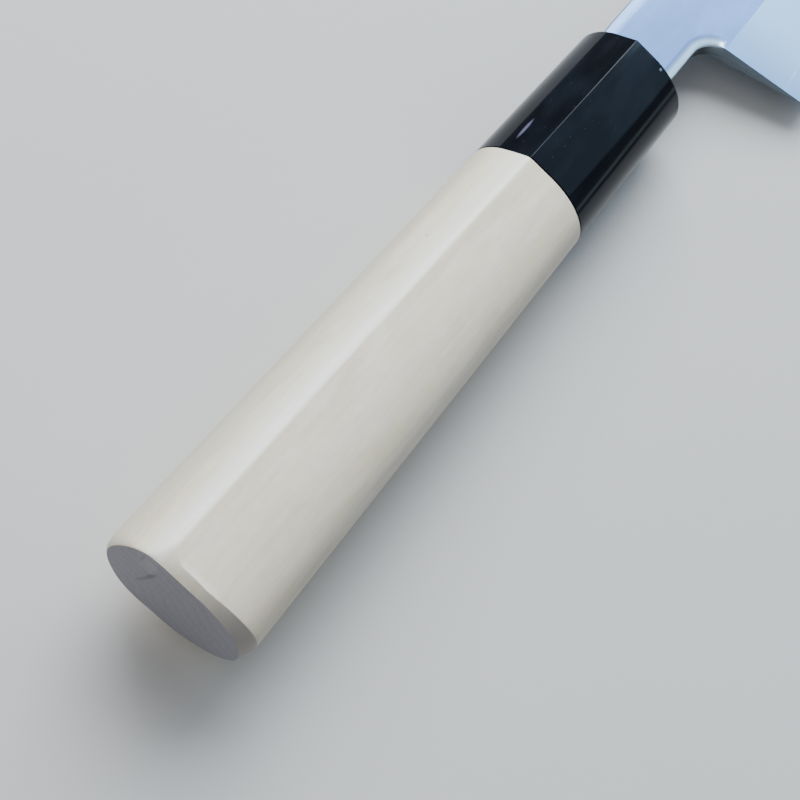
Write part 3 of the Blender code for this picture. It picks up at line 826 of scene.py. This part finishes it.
def bladeOutline():
    shoulder, flare = blade["shoulder"], blade["flare"]
    flared = shoulder + blade["flareLength"]
    straight = knife["handleLength"] - tang["straight"]
    end = knife["handleLength"] - tang["length"]
    rise, half, endHalf = tang["rise"], tang["height"] / 2, tang["endHeight"] / 2
    return [(end, rise - endHalf), (end, rise + endHalf), (straight, rise + half), (shoulder, rise + half),
            (shoulder, blade["spineRise"] - flare), (flared, blade["spineRise"]), *tipCurve(),
            (knife["heel"], -blade["edgeDrop"]), *notchCurve(), (flared, -blade["neckDrop"]),
            (shoulder, -blade["neckDrop"] + flare), (shoulder, rise - half), (straight, rise - half)]


def sharpCorner(edge):
    return edge.calc_face_angle() > blade["cornerAngle"]


def markOf(vertex):
    return tuple(round(value, 7) for value in vertex.co)


def crownEdge(piece, width, depth, test):
    # A chamfer is cut along the right side's border, its outer line is lifted so that it becomes a
    # soft slope, and both of its lines are rounded
    selectEdges(piece, test)
    bpy.ops.mesh.bevel(offset=width, offset_type="OFFSET", segments=1, profile=0.5)
    model = bmesh.from_edit_mesh(piece.data)
    cut = [vertex for vertex in model.verts if vertex.select]
    outer = [vertex for vertex in cut if rightSide(vertex.co.x) - vertex.co.z > width / 2]
    innerMarks = {markOf(vertex) for vertex in cut if vertex not in outer}
    for vertex in outer:
        full, none = blade["tipFade"] if vertex.co.x > knife["heel"] else blade["cornerFade"]
        sunk = max(depth * ease(none, full, vertex.co.y), knife["hair"])
        vertex.co.z = rightSide(vertex.co.x) - sunk
    outerMarks = {markOf(vertex) for vertex in outer}
    bmesh.update_edit_mesh(piece.data)
    bpy.ops.object.mode_set(mode="OBJECT")
    for marks, radius, steps in ((innerMarks, width * blade["crownSoftness"], blade["crownSteps"]),
                                 (outerMarks, blade["cornerRadius"], blade["cornerSteps"])):
        selectEdges(piece, lambda edge: all(markOf(vertex) in marks for vertex in edge.verts)
                    and edge.calc_face_angle() > blade["creaseAngle"])
        bevelSelected(radius, steps)


def makeBladeBlank():
    tangEnd = knife["handleLength"] - tang["length"] - knife["past"]
    places = [knife["handleLength"], blade["notch"]]
    for step in range(1, blade["stations"]):
        places.append(mix(blade["notch"], knife["tip"] + knife["past"], step / (blade["stations"] - 1)))
    blank = loftBody("bladeBlank", [tangStockRing(tangEnd), *[stockRing(x) for x in places]])
    outline = bladeOutline()
    cutter = loftBody("bladeOutline", [[Vector((x, y, z)) for x, y in outline]
                                       for z in (-blade["toolReach"], blade["toolReach"])])
    carve(blank, cutter, "INTERSECT")
    pick(blank)
    bpy.ops.object.mode_set(mode="EDIT")
    bpy.ops.mesh.select_all(action="SELECT")
    bpy.ops.mesh.remove_doubles(threshold=blade["cleanDistance"])
    bpy.ops.mesh.dissolve_limited(angle_limit=blade["cleanAngle"])
    bpy.ops.object.mode_set(mode="OBJECT")

    def onRight(edge):
        return sharpCorner(edge) and all(abs(v.co.z - rightSide(v.co.x)) < knife["hair"] for v in edge.verts)

    def onLeft(edge):
        return sharpCorner(edge) and all(abs(v.co.z - leftSide) < knife["hair"] for v in edge.verts)

    def pastShoulder(edge):
        return middleOf(edge).x > blade["shoulder"] + knife["hair"] / 2

    def alongSpine(edge):
        middle = middleOf(edge)
        return pastShoulder(edge) and middle.y > (blade["tipEnd"] if middle.x > knife["heel"] else 0.0)

    def alongNeck(edge):
        return pastShoulder(edge) and middleOf(edge).y < 0 and middleOf(edge).x < knife["heel"]

    crownEdge(blank, *blade["spineCrown"], lambda edge: onRight(edge) and alongSpine(edge))
    crownEdge(blank, *blade["neckCrown"], lambda edge: onRight(edge) and alongNeck(edge))
    # The slivers that the slopes leave where they run out are merged with the flat
    selectEdges(blank, lambda edge: all(face.normal.z > blade["flatFacing"] for face in edge.link_faces)
                and 0.0 < edge.calc_face_angle() < blade["sliverAngle"])
    bpy.ops.mesh.dissolve_edges(use_verts=True, use_face_split=False)
    bpy.ops.object.mode_set(mode="OBJECT")
    selectEdges(blank, lambda edge: onLeft(edge) and pastShoulder(edge) and middleOf(edge).y > 0)
    bevelSelected(blade["cornerRadius"], blade["leftSteps"])
    print("blade blank ground")
    return blank


def seamHeight(x, y):
    # The weld between iron and steel wanders, so its line on the bevel does too
    wave = sum(size * math.sin(x / length + y * lean + start)
               for size, length, lean, start in blade["seamWaves"])
    return leftSide + blade["hardLayer"] + blade["seamWave"] * wave


def seamTool(name, start, offset):
    # Everything left of the weld, from its start past the tip
    top, bottom = blade["seamSpan"]
    left = leftSide - knife["past"]
    rings = []
    for step in range(blade["seamSteps"] + 1):
        x = mix(start, knife["tip"] + knife["past"], step / blade["seamSteps"])
        ring = [Vector((x, bottom, left)), Vector((x, top, left))]
        for part in range(blade["seamParts"] + 1):
            y = mix(top, bottom, part / blade["seamParts"])
            ring.append(Vector((x, y, seamHeight(x, y) + offset)))
        rings.append(ring)
    return loftBody(name, rings)


def hollowTool():
    # The shallow dish ground into the flat side, inside an even rim
    rim = blade["hollowRim"]
    start = knife["heel"] + rim
    points = [(start, edgeAt(start) + rim), (start, blade["spineRise"] - rim)]
    arc = tipCurve()
    centre = (arc[0][0], arc[0][1] - blade["tipRadius"])
    shrink = (blade["tipRadius"] - rim) / blade["tipRadius"]
    for x, y in arc:
        inner = (mix(centre[0], x, shrink), mix(centre[1], y, shrink))
        if inner[1] > edgeAt(inner[0]) + rim:
            points.append(inner)
    middle = ((points[0][0] + points[-1][0]) / 2, (points[0][1] + points[1][1]) / 2)

    def ring(scale, height):
        return [Vector((mix(middle[0], x, scale), mix(middle[1], y, scale), height)) for x, y in points]

    spread = blade["hollowSpread"]
    rings = [ring(spread, leftSide - knife["past"])]
    for scale in [spread] + [1 - step / blade["hollowSteps"] for step in range(1, blade["hollowSteps"])]:
        rings.append(ring(scale, leftSide + blade["hollowDepth"] * (1 - scale * scale)))
    return loftBody("hollowTool", rings)


def bevelMask(tree, parts):
    # 1 below the bevel line, where the right side slopes to the edge
    lean = (blade["bevelLine"] - blade["bevelTipLine"]) / (knife["tip"] - knife["heel"])
    along = sums(tree, "SUBTRACT", parts["X"], knife["heel"])
    line = sums(tree, "SUBTRACT", times(tree, along, lean), blade["bevelLine"])
    below = sums(tree, "SUBTRACT", line, parts["Y"])
    onRight = ramp(tree, facing(tree, axisFace), *blade["rightTurn"])
    return times(tree, ramp(tree, below, -blade["bevelBlur"], blade["bevelBlur"]), onRight)


def makeGroundSteel(name, light, dark, rough):
    material, tree, shader = startMaterial(name)
    vector = knifeSpace(tree)
    parts = splitPlace(tree, vector)
    bevel = bevelMask(tree, parts)

    # Ground along the blade above the bevel line and across it below
    lines = addNode(tree, "ShaderNodeMix", data_type="FLOAT")
    tree.links.new(bevel, lines.inputs[0])
    tree.links.new(streaks(tree, vector, *blade["lengthwise"]), lines.inputs[2])
    tree.links.new(streaks(tree, vector, *blade["crosswise"]), lines.inputs[3])
    level = sums(tree, "ABSOLUTE", facing(tree, axisFace), 0.0)
    polish = times(tree, lines.outputs[0], ramp(tree, level, *blade["flatTurn"]))
    clouds = streaks(tree, vector, *blade["clouds"])
    colour = blend(tree, clouds, light, dark)
    colour = tint(tree, colour, polish, blade["polishShare"], dark)

    # Darker to the handle; paler on the bevel, partly its own finish and partly painted light; a painted
    # highlight on the neck's slope, and painted shade on the heel's thin side
    neck = ramp(tree, parts["X"], knife["handleLength"], knife["heel"], blade["neckShare"], 0.0)
    colour = blend(tree, neck, colour, blade["neckShade"])
    # the bevel is painted paler, partly for its own finish and partly as painted light
    heelTone = blend(tree, ramp(tree, parts["X"], *blade["heelBevelRun"]), blade["heelBevel"],
                     blade["paleBevel"])
    colour = tint(tree, colour, bevel, blade["bevelShare"], heelTone)
    # painted highlight on the soft slopes, strongest along the neck
    slopeHighlight = times(tree, ramp(tree, level, *blade["slopeTurn"]), sums(tree, "SUBTRACT", 1.0, bevel))
    atNeck = times(tree, ramp(tree, parts["X"], *blade["slopeAlong"]),
                   ramp(tree, parts["Y"], *blade["slopeAcross"]))
    colour = tint(tree, colour, slopeHighlight, atNeck, blade["paintedSlopeLight"])
    # painted shade on the thin sides that face down towards the belly
    belly = ramp(tree, facing(tree, axisSpine), *blade["bellyTurn"])
    colour = tint(tree, colour, ramp(tree, level, *blade["sideTurn"]), belly, blade["paintedSideShade"])

    shader.inputs["Metallic"].default_value = 1.0
    blur = sums(tree, "ADD", ramp(tree, polish, 0.0, 1.0, *rough), times(tree, clouds, blade["cloudRough"]))
    blur = sums(tree, "ADD", blur, times(tree, bevel, blade["bevelRough"]))
    feedShader(tree, shader, colour, blur, polish, *blade["bump"])
    return material


def atBevelLine(edge):
    onLine = all(abs(v.co.y - bevelLineAt(v.co.x)) < 1.5 * knife["hair"] for v in edge.verts)
    return onLine and edge.calc_face_angle() > blade["lineAngle"]


def atHollowRim(edge):
    flat = all(abs(v.co.z - leftSide) < knife["hair"] for v in edge.verts)
    down = all(-face.normal.z > blade["hollowFacing"] for face in edge.link_faces)
    return flat and down and edge.calc_face_angle() > blade["hollowAngle"]


def makeBlade():
    # Both layers are cut from one blank, along the weld
    iron = makeBladeBlank()
    start, gap = blade["hardStart"], blade["weldGap"]
    pick(iron)
    bpy.ops.object.duplicate()
    steel = bpy.context.object
    steel.name = "hardSteelEdge"
    iron.name = "softIronBody"
    carve(iron, seamTool("ironRoom", start - gap, gap / 2))
    markSharp(iron, atBevelLine)
    smoothPiece(iron, blade["smoothAngle"])
    layDown(iron, "blade_body",
            makeGroundSteel("softIron", blade["iron"], blade["ironDark"], blade["ironRough"]))
    carve(steel, seamTool("steelRoom", start, -gap / 2), "INTERSECT")
    carve(steel, hollowTool())
    markSharp(steel, atHollowRim)
    smoothPiece(steel, blade["smoothAngle"])
    layDown(steel, "edge_steel",
            makeGroundSteel("hardSteel", blade["steel"], blade["steelDark"], blade["steelRough"]))


makeGrip()
makeFerrule()
makeSeal()
makeBlade()


# Camera, floor and light

studio = {
    "lens": 75.05,
    "cameraPlace": (-0.06711, -0.00538, 0.21228),                  # in the knife's own directions
    "cameraTurn": (21.9705, -17.5386, -53.2458),                   # degrees
    "floorSize": 6.0,
    "sensor": 36.0, "clip": (0.01, 50.0),
    "floorColour": (0.65, 0.61, 0.56, 1.0),
    "floorFibre": (0.55, 0.53, 0.50, 1.0),
    "fibres": ((60, 60, 60), 0.2, 0.8, 5.0),
    "fibreShare": 0.04, "floorRough": 0.85,
    "worldColour": (0.80, 0.89, 1.0, 1.0),
    "worldStrength": 0.27,
    "lights": {                  # place, size, power and colour
        "keyPanel": ((0.46, 0.37, 0.63), (0.74, 0.70), 18.3, (0.79, 0.885, 1.0)),
        "sidePanel": ((0.62, -0.24, 0.60), (0.70, 0.60), 1.6, (0.45, 0.70, 1.0)),
        "endPanel": ((0.74, -0.05, 0.515), (0.22, 0.30), 1.25, (0.53, 0.76, 1.0)),
        "stripPanel": ((0.60, -0.61, 0.12), (0.55, 0.07), 0.15, (0.70, 0.93, 1.0)),
        "fillPanel": ((-0.25, 0.35, 0.65), (0.70, 0.70), 1.2, (0.90, 0.94, 1.0)),
    },
}


def makeCamera():
    deselectAll()
    bpy.ops.object.camera_add()
    camera = bpy.context.object
    camera.name = "photoCamera"
    turn = Euler([math.radians(degrees) for degrees in studio["cameraTurn"]], "XYZ")
    camera.matrix_world = stand @ Matrix.LocRotScale(Vector(studio["cameraPlace"]), turn, None)
    camera.data.lens = studio["lens"]
    camera.data.sensor_width = studio["sensor"]
    camera.data.clip_start, camera.data.clip_end = studio["clip"]
    camera.data.dof.use_dof = False
    bpy.context.scene.camera = camera


def makeFloor():
    deselectAll()
    bpy.ops.mesh.primitive_plane_add(size=studio["floorSize"])
    floor = bpy.context.object
    floor.name = "studioFloor"
    material, tree, shader = startMaterial("floorPaper")
    coordinates = addNode(tree, "ShaderNodeTexCoord")
    fibres = streaks(tree, coordinates.outputs["Object"], *studio["fibres"])
    colour = tint(tree, studio["floorColour"], fibres, studio["fibreShare"], studio["floorFibre"])
    tree.links.new(colour, shader.inputs["Base Color"])
    shader.inputs["Roughness"].default_value = studio["floorRough"]
    floor.data.materials.append(material)


def makeLights():
    world = bpy.data.worlds.new("studioWorld")
    world.use_nodes = True
    background = world.node_tree.nodes["Background"]
    background.inputs["Color"].default_value = studio["worldColour"]
    background.inputs["Strength"].default_value = studio["worldStrength"]
    bpy.context.scene.world = world
    for name, (place, size, power, colour) in studio["lights"].items():
        deselectAll()
        bpy.ops.object.light_add(type="AREA", location=place)
        light = bpy.context.object
        light.name = name
        light.data.shape = "RECTANGLE"
        light.data.size, light.data.size_y = size
        light.data.energy = power
        light.data.color = colour
        light.rotation_euler = (-Vector(place)).to_track_quat("-Z", "Y").to_euler()


makeCamera()
makeFloor()
makeLights()
print("camera, floor and light set")
